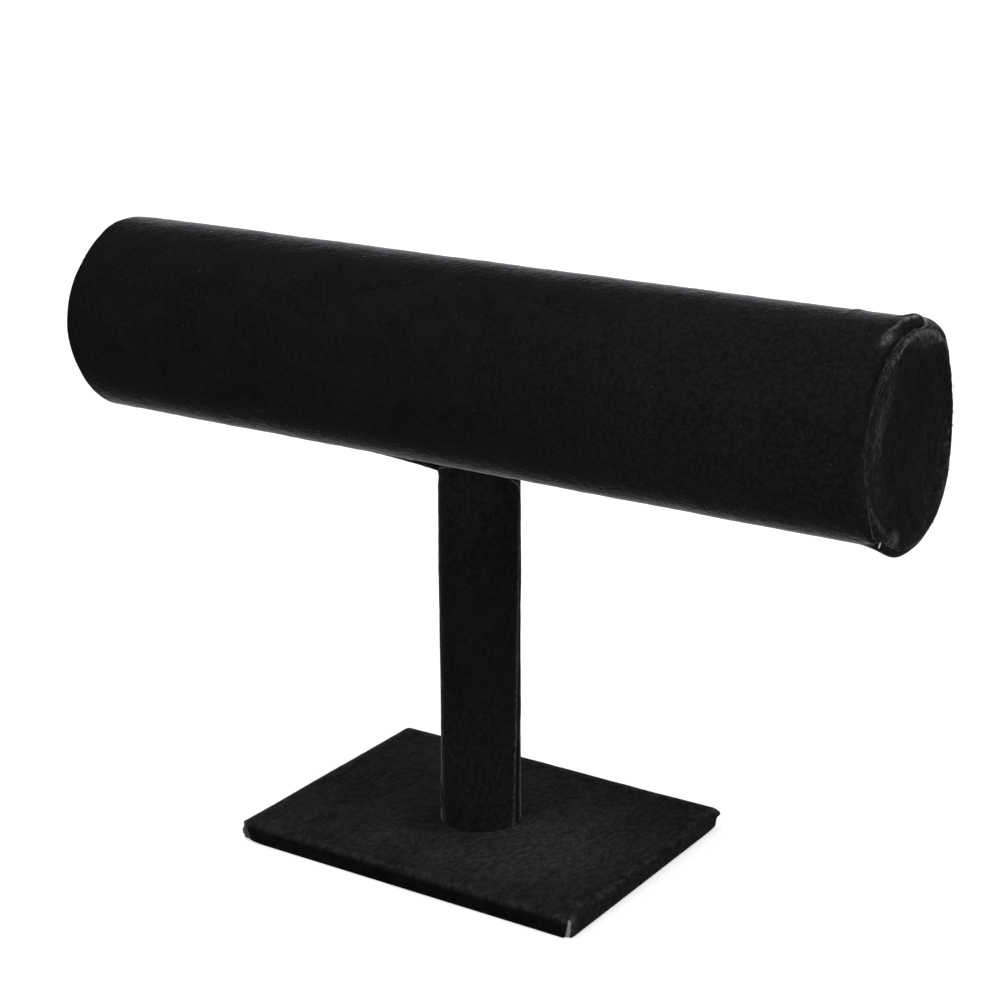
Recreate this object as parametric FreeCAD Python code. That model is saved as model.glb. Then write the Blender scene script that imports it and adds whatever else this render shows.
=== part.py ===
import FreeCAD, Part
import math
import os

os.makedirs("parts", exist_ok=True)

# Bracelet display stand: a level cloth-covered bar on a round post and a flat base.
# Millimetres. The origin is the centre of the base's underside.
# +X runs along the bar, -Y is the front and +Z is up.

# The cloth that covers the bar, the post and the base.
velvet_thickness = 1.0
seam_gap = 0.3

# The base: a thin board in a cloth cover that is turned under as a hem.
board_length = 100.0
board_depth = 74.0
board_thickness = 3.2
board_corner_radius = 0.8
board_edge_bevel = 0.4
hem_width = 13.0
hem_fold_bevel = 0.6
corner_seam_foot = 1.3
corner_seam_head = 0.5
backing_gap = 0.5
backing_corner_radius = 3.0

# The post: a wooden dowel in a cloth sleeve.
dowel_diameter = 19.0

# The bar: a paper tube whose cloth is turned in over both ends and held by a plug.
tube_outer_diameter = 50.0
tube_wall = 2.0
tube_length = 228.0
bar_axis_height = 127.5
tuck_depth = 9.0
plug_thickness = 4.0
wrap_edge_bevel = 0.8
end_cover_inset = 2.4
wrap_seam_angle = 38.0

# The two wood screws, the curved seat under the upper one and their holes.
screw_diameter = 4.0
screw_tip_length = 5.0
screw_hole_clearance = 0.25
tip_clearance = 1.5
pan_head_diameter = 8.0
pan_head_height = 2.6
pan_head_bevel = 0.9
bar_screw_length = 32.0
saddle_length = 18.0
saddle_width = 14.0
saddle_edge_thickness = 1.2
flat_head_diameter = 7.6
flat_head_height = 2.1
flat_head_sink = 0.2
base_screw_length = 26.0
recess_length = 4.4
recess_width = 0.9
recess_depth = 1.2

# Sizes that follow from the ones above.
cover_length = board_length + 2 * velvet_thickness
cover_depth = board_depth + 2 * velvet_thickness
board_bottom_z = velvet_thickness
board_top_z = board_bottom_z + board_thickness
base_top_z = board_top_z + velvet_thickness
dowel_radius = dowel_diameter / 2
post_radius = dowel_radius + velvet_thickness
tube_outer_radius = tube_outer_diameter / 2
tube_inner_radius = tube_outer_radius - tube_wall
bar_radius = tube_outer_radius + velvet_thickness
tube_end_x = tube_length / 2
wrap_end_x = tube_end_x + velvet_thickness
bar_end_x = wrap_end_x + velvet_thickness
plug_radius = tube_inner_radius - velvet_thickness
screw_radius = screw_diameter / 2
clear_hole_radius = screw_radius + screw_hole_clearance
bar_bottom_z = bar_axis_height - bar_radius
saddle_rise = tube_inner_radius - math.sqrt(tube_inner_radius ** 2 - (saddle_width / 2) ** 2)
saddle_top_z = bar_axis_height - tube_inner_radius + saddle_rise + saddle_edge_thickness
base_head_z = board_bottom_z + flat_head_sink
base_screw_tip_z = base_head_z + base_screw_length
bar_screw_tip_z = saddle_top_z - bar_screw_length

origin = FreeCAD.Vector(0, 0, 0)
along_x = FreeCAD.Vector(1, 0, 0)
along_z = FreeCAD.Vector(0, 0, 1)
bar_centre = FreeCAD.Vector(0, 0, bar_axis_height)


def block(length, depth, low_z, high_z):
    corner = FreeCAD.Vector(-length / 2, -depth / 2, low_z)
    return Part.makeBox(length, depth, high_z - low_z, corner)


def upright_cylinder(radius, low_z, high_z):
    return Part.makeCylinder(radius, high_z - low_z, FreeCAD.Vector(0, 0, low_z), along_z)


def level_cylinder(radius, low_x, high_x):
    start = FreeCAD.Vector(low_x, 0, bar_axis_height)
    return Part.makeCylinder(radius, high_x - low_x, start, along_x)


def edges_at_height(shape, z):
    found = []
    for edge in shape.Edges:
        box = edge.BoundBox
        if abs(box.ZMin - z) < 1e-4 and abs(box.ZMax - z) < 1e-4:
            found.append(edge)
    return found


def turned_upright(outline):
    # A solid turned about the post's axis, from its half section as (radius, height) points.
    points = [FreeCAD.Vector(radius, 0, height) for radius, height in outline]
    face = Part.Face(Part.makePolygon(points + points[:1]))
    return face.revolve(origin, along_z, 360)


def turned_along_bar(outline):
    # A solid turned about the bar's axis, from its half section as (x, radius) points.
    points = [FreeCAD.Vector(x, 0, bar_axis_height + radius) for x, radius in outline]
    face = Part.Face(Part.makePolygon(points + points[:1]))
    return face.revolve(bar_centre, along_x, 360)


def upright_edges(shape):
    found = []
    for edge in shape.Edges:
        box = edge.BoundBox
        if box.ZLength > 1e-3 and box.XLength < 1e-4 and box.YLength < 1e-4:
            found.append(edge)
    return found


def rounded_plate(length, depth, low_z, high_z, corner_radius):
    plate = block(length, depth, low_z, high_z)
    return plate.makeFillet(corner_radius, upright_edges(plate))


def board_blank():
    plate = rounded_plate(board_length, board_depth, board_bottom_z, board_top_z, board_corner_radius)
    return plate.makeChamfer(board_edge_bevel, edges_at_height(plate, board_top_z))


def countersink():
    slope = flat_head_height / (flat_head_diameter / 2 - screw_radius)
    slope_end_z = base_head_z + flat_head_height - slope * screw_hole_clearance
    outline = [
        (0, board_bottom_z),
        (flat_head_diameter / 2, board_bottom_z),
        (flat_head_diameter / 2, base_head_z),
        (clear_hole_radius, slope_end_z),
        (clear_hole_radius, board_top_z),
        (0, board_top_z),
    ]
    return turned_upright(outline)


def base_board():
    return board_blank().cut(countersink())


def turned_to_corner(shape, side_x, side_y):
    shape.rotate(origin, along_z, math.degrees(math.atan2(side_y, side_x)))
    return shape


def hem_mitres():
    # One slit at each corner of the hem, from the window out to the corner seam.
    window_x = cover_length / 2 - hem_width
    window_y = cover_depth / 2 - hem_width
    length = hem_width * math.sqrt(2)
    slits = []
    for side_x in (-1, 1):
        for side_y in (-1, 1):
            slit = Part.makeBox(length, seam_gap, velvet_thickness, FreeCAD.Vector(0, -seam_gap / 2, 0))
            slit = turned_to_corner(slit, side_x, side_y)
            slit.translate(FreeCAD.Vector(side_x * window_x, side_y * window_y, 0))
            slits.append(slit)
    return slits


def corner_seams():
    # The cover's side flaps meet at each corner in a seam that opens towards the foot.
    low = corner_seam_foot / 2
    high = corner_seam_head / 2
    outline = [(-low, 0), (low, 0), (high, board_top_z), (-high, board_top_z), (-low, 0)]
    reach = 2 * (board_corner_radius + velvet_thickness)
    seams = []
    for side_x in (-1, 1):
        for side_y in (-1, 1):
            face = Part.Face(Part.makePolygon([FreeCAD.Vector(0, across, up) for across, up in outline]))
            seam = turned_to_corner(face.extrude(along_x * reach), side_x, side_y)
            corner_x = side_x * (board_length / 2 - board_corner_radius)
            corner_y = side_y * (board_depth / 2 - board_corner_radius)
            seam.translate(FreeCAD.Vector(corner_x, corner_y, 0))
            seams.append(seam)
    return seams


def base_velvet():
    plan_radius = board_corner_radius + velvet_thickness
    cover = rounded_plate(cover_length, cover_depth, 0, base_top_z, plan_radius)
    cover = cover.makeFillet(board_edge_bevel + velvet_thickness, edges_at_height(cover, base_top_z))
    cover = cover.makeChamfer(hem_fold_bevel, edges_at_height(cover, 0))
    window_length = cover_length - 2 * hem_width
    window_depth = cover_depth - 2 * hem_width
    window = rounded_plate(window_length, window_depth, 0, board_bottom_z, backing_corner_radius)
    cover = cover.cut(board_blank()).cut(window)
    for slit in hem_mitres() + corner_seams():
        cover = cover.cut(slit)
    return cover.cut(upright_cylinder(clear_hole_radius, board_top_z, base_top_z))


def base_backing():
    length = cover_length - 2 * hem_width - 2 * backing_gap
    depth = cover_depth - 2 * hem_width - 2 * backing_gap
    return rounded_plate(length, depth, 0, board_bottom_z, backing_corner_radius - backing_gap)


def cross_recess(mouth_z, depth):
    low_z = min(mouth_z, mouth_z + depth)
    high_z = max(mouth_z, mouth_z + depth)
    first = block(recess_length, recess_width, low_z, high_z)
    second = block(recess_width, recess_length, low_z, high_z)
    return first.fuse(second)


def base_screw():
    outline = [
        (0, base_head_z),
        (flat_head_diameter / 2, base_head_z),
        (screw_radius, base_head_z + flat_head_height),
        (screw_radius, base_screw_tip_z - screw_tip_length),
        (0, base_screw_tip_z),
    ]
    return turned_upright(outline).cut(cross_recess(base_head_z, recess_depth))


def bar_screw():
    head_radius = pan_head_diameter / 2
    head_top_z = saddle_top_z + pan_head_height
    outline = [
        (0, head_top_z),
        (head_radius - pan_head_bevel, head_top_z),
        (head_radius, head_top_z - pan_head_bevel),
        (head_radius, saddle_top_z),
        (screw_radius, saddle_top_z),
        (screw_radius, bar_screw_tip_z + screw_tip_length),
        (0, bar_screw_tip_z),
    ]
    return turned_upright(outline).cut(cross_recess(head_top_z, -recess_depth))


def bar_saddle():
    # Flat on top for the screw's head and round below to fit the tube's inside.
    low_z = bar_axis_height - tube_inner_radius
    seat = block(saddle_length, saddle_width, low_z, saddle_top_z)
    seat = seat.common(level_cylinder(tube_inner_radius, -saddle_length, saddle_length))
    return seat.cut(upright_cylinder(clear_hole_radius, low_z, saddle_top_z))


def under_the_bar(blank):
    # The top of the post is hollowed to the bar's own radius, so that the bar sits down on it.
    return blank.cut(level_cylinder(bar_radius, -2 * post_radius, 2 * post_radius))


def pilot_hole(low_z, high_z):
    return upright_cylinder(screw_radius, low_z, high_z)


def post_core():
    dowel = under_the_bar(upright_cylinder(dowel_radius, base_top_z, bar_axis_height))
    lower = pilot_hole(base_top_z, base_screw_tip_z + tip_clearance)
    upper = pilot_hole(bar_screw_tip_z - tip_clearance, bar_axis_height)
    return dowel.cut(lower).cut(upper)


def post_velvet():
    sleeve = upright_cylinder(post_radius, base_top_z, bar_axis_height)
    sleeve = sleeve.cut(upright_cylinder(dowel_radius, base_top_z, bar_axis_height))
    corner = FreeCAD.Vector(-seam_gap / 2, 0, base_top_z)
    seam = Part.makeBox(seam_gap, 2 * post_radius, bar_axis_height - base_top_z, corner)
    return under_the_bar(sleeve.cut(seam))


def bar_screw_hole():
    return upright_cylinder(clear_hole_radius, bar_bottom_z - velvet_thickness, bar_axis_height)


def bar_tube():
    tube = level_cylinder(tube_outer_radius, -tube_end_x, tube_end_x)
    tube = tube.cut(level_cylinder(tube_inner_radius, -tube_end_x, tube_end_x))
    return tube.cut(bar_screw_hole())


def bar_velvet():
    # Half of the wrap's section: along the outside, over the tube's end and back into its bore.
    half = [
        (wrap_end_x - wrap_edge_bevel, bar_radius),
        (wrap_end_x, bar_radius - wrap_edge_bevel),
        (wrap_end_x, plug_radius),
        (tube_end_x - tuck_depth, plug_radius),
        (tube_end_x - tuck_depth, tube_inner_radius),
        (tube_end_x, tube_inner_radius),
        (tube_end_x, tube_outer_radius),
    ]
    other_half = [(-x, radius) for x, radius in reversed(half)]
    wrap = turned_along_bar(half + other_half)
    # The cloth's two edges meet in one seam along the lower back of the bar.
    corner = FreeCAD.Vector(-bar_end_x, 0, bar_axis_height - seam_gap / 2)
    seam = Part.makeBox(2 * bar_end_x, 2 * bar_radius, seam_gap, corner)
    seam.rotate(bar_centre, along_x, -wrap_seam_angle)
    return wrap.cut(seam).cut(bar_screw_hole())


def bar_plug(side):
    outer_x = side * wrap_end_x
    inner_x = side * (wrap_end_x - plug_thickness)
    return level_cylinder(plug_radius, min(inner_x, outer_x), max(inner_x, outer_x))


def bar_end_velvet(side):
    # A disc of the same cloth with a plain cut edge, a little smaller than the bar.
    outer_x = side * bar_end_x
    inner_x = side * wrap_end_x
    return level_cylinder(bar_radius - end_cover_inset, min(inner_x, outer_x), max(inner_x, outer_x))


def write(name, shape):
    shape.exportStep(os.path.join("parts", name + ".step"))


write("base_board", base_board())
write("base_velvet", base_velvet())
write("base_backing", base_backing())
write("base_screw", base_screw())
write("post_core", post_core())
write("post_velvet", post_velvet())
write("bar_tube", bar_tube())
write("bar_velvet", bar_velvet())
write("bar_saddle", bar_saddle())
write("bar_screw", bar_screw())
for side, side_name in ((-1, "left"), (1, "right")):
    write("bar_plug_" + side_name, bar_plug(side))
    write("bar_end_velvet_" + side_name, bar_end_velvet(side))
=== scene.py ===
import math
from functools import partial

import bpy
import numpy as np
from mathutils import Matrix, Vector


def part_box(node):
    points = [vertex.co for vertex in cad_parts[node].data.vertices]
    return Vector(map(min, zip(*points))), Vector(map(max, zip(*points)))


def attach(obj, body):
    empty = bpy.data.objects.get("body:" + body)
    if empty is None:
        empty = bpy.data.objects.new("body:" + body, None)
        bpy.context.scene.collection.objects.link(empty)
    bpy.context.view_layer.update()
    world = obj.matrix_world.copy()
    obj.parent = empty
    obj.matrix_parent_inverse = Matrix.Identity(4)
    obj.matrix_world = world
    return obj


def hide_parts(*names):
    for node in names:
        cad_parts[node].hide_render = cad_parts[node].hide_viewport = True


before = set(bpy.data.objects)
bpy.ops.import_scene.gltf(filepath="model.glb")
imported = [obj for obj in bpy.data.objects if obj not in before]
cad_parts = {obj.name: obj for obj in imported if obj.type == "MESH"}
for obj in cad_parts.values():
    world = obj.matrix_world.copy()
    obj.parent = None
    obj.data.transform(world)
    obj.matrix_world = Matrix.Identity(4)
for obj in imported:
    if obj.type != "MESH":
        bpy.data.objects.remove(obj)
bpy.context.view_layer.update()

# A black velvet bracelet stand: a covered bar on a covered post and a covered base.
# The pieces are shaped in millimetres and turned to metres when their meshes are made.
# +X runs along the bar, -Y is the front and +Z is up. Angles round the bar and the post
# are in degrees, from +Y round the bar and from +X round the post.
MM = 0.001

cloth_thickness = 1.0
base_cloth_thickness = 0.8
back_skin_step = 3


def node_box(node):
    low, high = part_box(node)
    return np.array(low) / MM, np.array(high) / MM


bar_low, bar_high = node_box("bar_velvet")
bar_end = bar_high[0]
bar_axis_z = (bar_low[2] + bar_high[2]) / 2
bar_radius = (bar_high[2] - bar_low[2]) / 2
tube_end = node_box("bar_tube")[1][0]
bore_radius = node_box("bar_plug_right")[1][1]
end_cover_face, end_cover_radius = node_box("bar_end_velvet_right")[1][:2]
post_radius = node_box("post_velvet")[1][0]
half_length, half_depth, base_top = node_box("base_velvet")[1]
felt_half_length, felt_half_depth, felt_back_z = node_box("base_backing")[1]

tuck_depth = 9.0
bar_rim_radius = 1.6
bar_seam_angle = math.radians(-38)
seam_gap = 0.3
base_corner_radius = 1.8
base_edge_radius = 1.4
base_fold_radius = 0.6
hem_width = 13.0
screw_hole_radius = 2.25
felt_corner_radius = 2.5
lining_radius = 1.2
lining_thickness = 0.25


# Shaping: noise, humps and the two kinds of cloth mesh.

noise_cells = 32


def lumps(points, size, seed):
    """Smooth noise from -1 to 1 at each point, with lumps about size millimetres across."""
    table = np.random.default_rng(seed).uniform(-1, 1, (noise_cells,) * 3)
    cell = np.asarray(points, float) / size
    corner = np.floor(cell).astype(int)
    part = cell - corner
    part = part * part * (3 - 2 * part)
    total = np.zeros(cell.shape[:-1])
    for step in np.ndindex(2, 2, 2):
        share = np.prod(np.where(np.array(step) == 1, part, 1 - part), axis=-1)
        x, y, z = np.moveaxis((corner + step) % noise_cells, -1, 0)
        total += share * table[x, y, z]
    return total


def uneven(points, *rows):
    """Noise of several sizes laid together. Each row is a height, a size of lump and a seed."""
    return sum(height * lumps(points, size, seed) for height, size, seed in rows)


def hump(value, centre, width):
    """1 at the centre, falling smoothly to 0 about two widths away."""
    return np.exp(-((value - centre) / width) ** 2)


def ramp(value, start, end):
    """0 at start, 1 at end and smooth between."""
    share = np.clip((value - start) / (end - start), 0, 1)
    return share * share * (3 - 2 * share)


def angle_from(angle, centre):
    """How far an angle in degrees is from centre, from -180 to 180."""
    return (angle - centre + 180) % 360 - 180


def around(degrees, centre, width):
    """A hump round a circle."""
    return hump(angle_from(degrees, centre), 0, width)


def bumps(degrees, *rows):
    """Several humps round a circle. Each row is a height, a centre and a width."""
    return sum(height * around(degrees, centre, width) for height, centre, width in rows)


def wave(degrees, count, shift):
    """Evenly spaced swells round a circle."""
    return np.cos(np.radians(count * degrees + shift))


def rounded_path(corners, radii, steps, arc_step):
    """Points and left-hand normals along a path in a plane with rounded corners."""
    corners = np.array(corners, float)
    points, normals = [], []

    def run(start, end, step):
        length = np.linalg.norm(end - start)
        count = max(1, math.ceil(length / step))
        along = (end - start) / max(length, 1e-9)
        for share in np.arange(count) / count:
            points.append(start + (end - start) * share)
            normals.append(np.array([-along[1], along[0]]))

    start = corners[0]
    for here, before, after, radius, step in zip(corners[1:-1], corners, corners[2:], radii, steps):
        came = (here - before) / np.linalg.norm(here - before)
        goes = (after - here) / np.linalg.norm(after - here)
        turn = math.atan2(came[0] * goes[1] - came[1] * goes[0], came @ goes)
        side = math.copysign(1, turn)
        reach = radius * math.tan(abs(turn) / 2)
        run(start, here - came * reach, step)
        left = np.array([-came[1], came[0]])
        centre = here - came * reach + left * radius * side
        count = max(2, math.ceil(abs(turn) * radius / arc_step))
        for share in np.arange(count) / count:
            cos, sin = math.cos(turn * share), math.sin(turn * share)
            normal = np.array([cos * left[0] - sin * left[1], sin * left[0] + cos * left[1]])
            points.append(centre - normal * radius * side)
            normals.append(normal)
        start = here + goes * reach
    run(start, corners[-1], steps[-1])
    return np.array(points + [corners[-1]]), np.array(normals + [normals[-1]])


def make_piece(name, points, faces, material, lift_and_light=None):
    """A smooth mesh piece, in metres, that rides on the stand. lift_and_light marks pile that is up or down,
    and painted highlight and shade.
    """
    mesh = bpy.data.meshes.new(name)
    mesh.from_pydata((np.asarray(points) * MM).tolist(), [], faces)
    mesh.update()
    mesh.polygons.foreach_set("use_smooth", [True] * len(mesh.polygons))
    if lift_and_light is not None:
        marks = mesh.attributes.new("pile_lift_and_painted_light", "FLOAT", "POINT")
        marks.data.foreach_set("value", np.clip(lift_and_light, -1, 1).astype(np.float32))
    mesh.materials.append(material)
    piece = bpy.data.objects.new(name, mesh)
    bpy.context.scene.collection.objects.link(piece)
    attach(piece, "root")
    return piece


def numbered(grid, first=0):
    """The numbers of a grid's points in a mesh, in the grid's rows and columns."""
    return first + np.arange(grid.shape[0] * grid.shape[1]).reshape(grid.shape[:2])


def grid_quads(index):
    corners = [index[:-1, :-1], index[:-1, 1:], index[1:, 1:], index[1:, :-1]]
    return np.stack(corners, -1).reshape(-1, 4).tolist()


def every(count, step):
    return np.array(list(range(0, count - 1, step)) + [count - 1])


def two_skins(pile, back, rows, columns):
    """Faces of a cloth whose fine pile side and coarser back are joined along the four edges."""
    front = numbered(pile)
    behind = numbered(back, front.size)
    faces = grid_quads(front) + [quad[::-1] for quad in grid_quads(behind)]
    rims = [
        (front[0, :], behind[0, :], columns, 1),
        (front[-1, :], behind[-1, :], columns, -1),
        (front[:, 0], behind[:, 0], rows, -1),
        (front[:, -1], behind[:, -1], rows, 1),
    ]
    for fine, coarse, stops, way in rims:
        for number, (start, end) in enumerate(zip(stops[:-1], stops[1:])):
            faces.append(fine[start:end + 1][::-way].tolist() + coarse[number:number + 2][::way].tolist())
    return faces


def cloth_piece(name, place, row_count, column_count, material, lift_and_light=None):
    """A closed cloth piece. place(rows, columns, behind) gives a grid of points of one side."""
    rows, columns = every(row_count, back_skin_step), every(column_count, back_skin_step)
    pile = place(np.arange(row_count), np.arange(column_count), False)
    back = place(rows, columns, True)
    points = np.concatenate([pile.reshape(-1, 3), back.reshape(-1, 3)])
    marks = None
    if lift_and_light is not None:
        marks = np.concatenate([lift_and_light(pile).ravel(), np.zeros(back.shape[0] * back.shape[1])])
    return make_piece(name, points, two_skins(pile, back, rows, columns), material, marks)


strand_sides = 4


def strands_piece(name, lines, radius, material):
    """Many thin fibres as one mesh. Each line is a row of points down the middle of one fibre."""
    turns = 2 * math.pi * np.arange(strand_sides)[:, None] / strand_sides
    rings, faces = [], []
    for line in lines:
        line = np.asarray(line, float)
        along = np.gradient(line, axis=0)
        along /= np.linalg.norm(along, axis=1, keepdims=True)
        upright = abs(along[0][2]) >= 0.8
        across = np.cross(along, [1.0, 0.0, 0.0] if upright else [0.0, 0.0, 1.0])
        across /= np.linalg.norm(across, axis=1, keepdims=True)
        beside = np.cross(along, across)
        taper = radius * (1 - 0.6 * np.linspace(0, 1, len(line)) ** 2)
        index = numbered(np.zeros((len(line), strand_sides)), strand_sides * len(rings))
        for middle, one_way, other_way, width in zip(line, across, beside, taper):
            rings.append(middle + width * (one_way * np.cos(turns) + other_way * np.sin(turns)))
        faces += grid_quads(np.pad(index, ((0, 0), (0, 1)), mode="wrap"))
        faces += [index[0, ::-1].tolist(), index[-1].tolist()]
    return make_piece(name, np.concatenate(rings), faces, material)


# Materials. Every effect that several finishes share is a node group.

class Value:
    """What a node puts out. Sums and products of values are math nodes in the same tree."""

    def __init__(self, socket):
        self.socket, self.tree = socket, socket.id_data

    def __add__(self, other):
        return calculate("ADD", self, other)

    def __sub__(self, other):
        return calculate("SUBTRACT", self, other)

    def __rsub__(self, other):
        return calculate("SUBTRACT", other, self)

    def __mul__(self, other):
        return calculate("MULTIPLY", self, other)

    def __truediv__(self, other):
        return calculate("DIVIDE", self, other)

    def __rtruediv__(self, other):
        return calculate("DIVIDE", other, self)

    __radd__, __rmul__ = __add__, __mul__


class Outputs:
    """A node's outputs by name, as values."""

    def __init__(self, node):
        self.node = node

    def __getitem__(self, name):
        return Value(self.node.outputs[name])


def feed(socket, value):
    if isinstance(value, Value):
        value.tree.links.new(value.socket, socket)
    elif socket.type == "RGBA":
        socket.default_value = (*(value if isinstance(value, tuple) else (value,) * 3), 1)
    else:
        socket.default_value = value


def add(tree, kind, inputs=None, **settings):
    made = tree.nodes.new("ShaderNode" + kind)
    for name, value in settings.items():
        setattr(made, name, value)
    for name, value in (inputs or {}).items():
        feed(made.inputs[name], value)
    return Outputs(made)


def calculate(operation, first, second, clamp=False):
    tree = first.tree if isinstance(first, Value) else second.tree
    return add(tree, "Math", {0: first, 1: second}, operation=operation, use_clamp=clamp)[0]


def between(value, low, high):
    """The value stretched so that low becomes 0 and high becomes 1, and held in that range."""
    return add(value.tree, "MapRange", {"Value": value, "From Min": low, "From Max": high},
               interpolation_type="SMOOTHSTEP")["Result"]


def blend(share, first, second):
    """The first colour at a share of 0 and the second at 1."""
    return add(share.tree, "Mix", {"Factor": share, "A": first, "B": second}, data_type="RGBA")["Result"]


def noise(place, scale, detail, **more):
    return add(place.tree, "TexNoise", {"Vector": place, "Scale": scale, "Detail": detail, **more})["Fac"]


def new_effect(name, defaults, outputs):
    """An empty node group: its tree, its inputs (a Place and the named values) and its outputs."""
    tree = bpy.data.node_groups.new(name, "ShaderNodeTree")
    tree.interface.new_socket(name="Place", in_out="INPUT", socket_type="NodeSocketVector")
    for socket, default in defaults.items():
        made = tree.interface.new_socket(name=socket, in_out="INPUT", socket_type="NodeSocketFloat")
        made.default_value = default
    for socket in outputs:
        tree.interface.new_socket(name=socket, in_out="OUTPUT", socket_type="NodeSocketFloat")
    return tree, Outputs(tree.nodes.new("NodeGroupInput")), tree.nodes.new("NodeGroupOutput").inputs


def use(effect, place, **inputs):
    """An effect at work at a place."""
    named = {name.replace("_", " "): value for name, value in inputs.items()}
    return add(place.tree, "Group", {"Place": place, **named}, node_tree=effect)


def object_place(tree, stretch=(1, 1, 1)):
    return add(tree, "Mapping", {"Vector": add(tree, "TexCoord")["Object"], "Scale": stretch})["Vector"]


def put_out(result, height, low, high):
    """Gives a group's height, and its tone from 0 at a height of low to 1 at high."""
    feed(result["Height"], height)
    feed(result["Tone"], between(height, low, high))


def make_pile_grain():
    """Short cut pile: fine tips gathered in slightly larger tufts."""
    tree, given, result = new_effect(
        "pile_grain", {"Tip Size": 0.00055, "Tuft Size": 0.0011}, ("Height", "Tone"))
    tips = noise(given["Place"], 1.0 / given["Tip Size"], 2.0, Roughness=0.6)
    tufts = add(tree, "TexVoronoi", {"Vector": given["Place"], "Scale": 1.0 / given["Tuft Size"],
                                     "Randomness": 1.0}, feature="SMOOTH_F1")
    put_out(result, 0.6 * tips + 0.4 * (1.0 - tufts["Distance"]), 0.40, 0.70)
    return tree


def make_nap_patches():
    """Broad soft patches where the pile has been stroked another way and looks lighter."""
    tree, given, result = new_effect("nap_patches", {"Patch Size": 0.012, "Spread": 0.15}, ("Mask", "Height"))
    broad = noise(given["Place"], 1.0 / given["Patch Size"], 4.0, Roughness=0.62, Distortion=0.8)
    mixed = 0.75 * broad + 0.25 * noise(given["Place"], 3.4 / given["Patch Size"], 2.0)
    feed(result["Mask"], between(mixed, 0.52 - given["Spread"], 0.52 + given["Spread"]))
    feed(result["Height"], mixed)
    return tree


def make_lint_specks():
    """Sparse pale specks of lint caught in the pile."""
    tree, given, result = new_effect(
        "lint_specks", {"Spacing": 0.003, "Share": 0.5, "Speck Radius": 0.00012}, ("Mask",))
    cells = add(tree, "TexVoronoi", {"Vector": given["Place"], "Scale": 1.0 / given["Spacing"],
                                     "Randomness": 1.0})
    chance = add(tree, "SeparateColor", {"Color": cells["Color"]})
    reach = given["Speck Radius"] / given["Spacing"] * (chance["Green"] + 0.4)
    near = calculate("LESS_THAN", cells["Distance"], reach)
    feed(result["Mask"], near * calculate("LESS_THAN", chance["Red"], given["Share"]))
    return tree


def make_plain_weave():
    """Crossing threads of a woven ground, as a height and as a tone."""
    tree, given, result = new_effect("plain_weave", {"Thread Width": 0.0003}, ("Height", "Tone"))
    scale = 0.16 / given["Thread Width"]
    x, y, z = (
        add(tree, "TexWave", {"Vector": given["Place"], "Scale": scale, "Distortion": 1.5, "Detail": 1.0},
            bands_direction=direction)["Fac"] for direction in "XYZ")
    woven = calculate("MAXIMUM", x * z, y * z)
    put_out(result, 0.6 * woven + 0.4 * noise(given["Place"], 900.0, 2.0), 0.15, 0.75)
    return tree


def make_fibre_lines():
    """Long fine lines along one direction, for wood grain, wound paper and drawn steel."""
    tree, given, result = new_effect("fibre_lines", {"Line Width": 0.0006}, ("Height", "Tone"))
    fine = noise(given["Place"], 1.0 / given["Line Width"], 5.0, Roughness=0.6)
    put_out(result, 0.6 * fine + 0.4 * noise(given["Place"], 0.2 / given["Line Width"], 2.0), 0.38, 0.64)
    return tree


pile_grain = make_pile_grain()
nap_patches = make_nap_patches()
lint_specks = make_lint_specks()
plain_weave = make_plain_weave()
fibre_lines = make_fibre_lines()


def new_material(name, **constants):
    """A material with only its Principled shader, whose plain values are set on its own sockets."""
    material = bpy.data.materials.new(name)
    material.use_nodes = True
    for socket, value in constants.items():
        feed(material.node_tree.nodes["Principled BSDF"].inputs[socket.replace("_", " ")], value)
    return material, material.node_tree


def dress(material, colour, height, depth, strength=1.0, roughness=None):
    """Gives a material its colour, its fine relief and, where that varies, its roughness."""
    surface = material.node_tree.nodes["Principled BSDF"].inputs
    relief = add(material.node_tree, "Bump", {"Height": height, "Distance": depth, "Strength": strength})
    feed(surface["Base Color"], colour)
    feed(surface["Normal"], relief["Normal"])
    if roughness is not None:
        feed(surface["Roughness"], roughness)
    return material


# The darkest pile colour: pile laid down, and painted shade.
laid_and_shaded_pile_colour = 0.0004
speck_colour = (0.055, 0.056, 0.06)


def velvet(name, deep, stroked, lifted_and_lit, patch, patch_stretch, grain_stretch, sheen, specks):
    """Black pile: deep where one looks into it, lighter where it is stroked, palest where it stands up and
    where highlights are painted, darkest where it lies down and where shade is painted.
    """
    material, tree = new_material(
        name, Roughness=0.95, IOR=1.35, Specular_IOR_Level=0.0,
        Sheen_Weight=sheen, Sheen_Roughness=0.2, Sheen_Tint=(0.93, 0.95, 1.0))
    grain = use(pile_grain, object_place(tree, grain_stretch))
    nap = use(nap_patches, object_place(tree, patch_stretch), Patch_Size=patch[0], Spread=patch[1])
    lift_and_light = add(tree, "Attribute", attribute_name="pile_lift_and_painted_light")["Fac"]
    colour = blend(calculate("ADD", nap["Mask"] * 0.45, grain["Tone"] * 0.55, clamp=True), deep, stroked)
    colour = blend(calculate("MULTIPLY", lift_and_light, grain["Tone"] + 0.3, clamp=True), colour, lifted_and_lit)
    colour = blend(calculate("MULTIPLY", lift_and_light, -0.85, clamp=True), colour, laid_and_shaded_pile_colour)
    colour = blend(use(lint_specks, object_place(tree), Share=specks)["Mask"], colour, speck_colour)
    return dress(material, colour, 0.75 * grain["Height"] + 0.25 * nap["Height"], 0.00034, 0.8)


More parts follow.
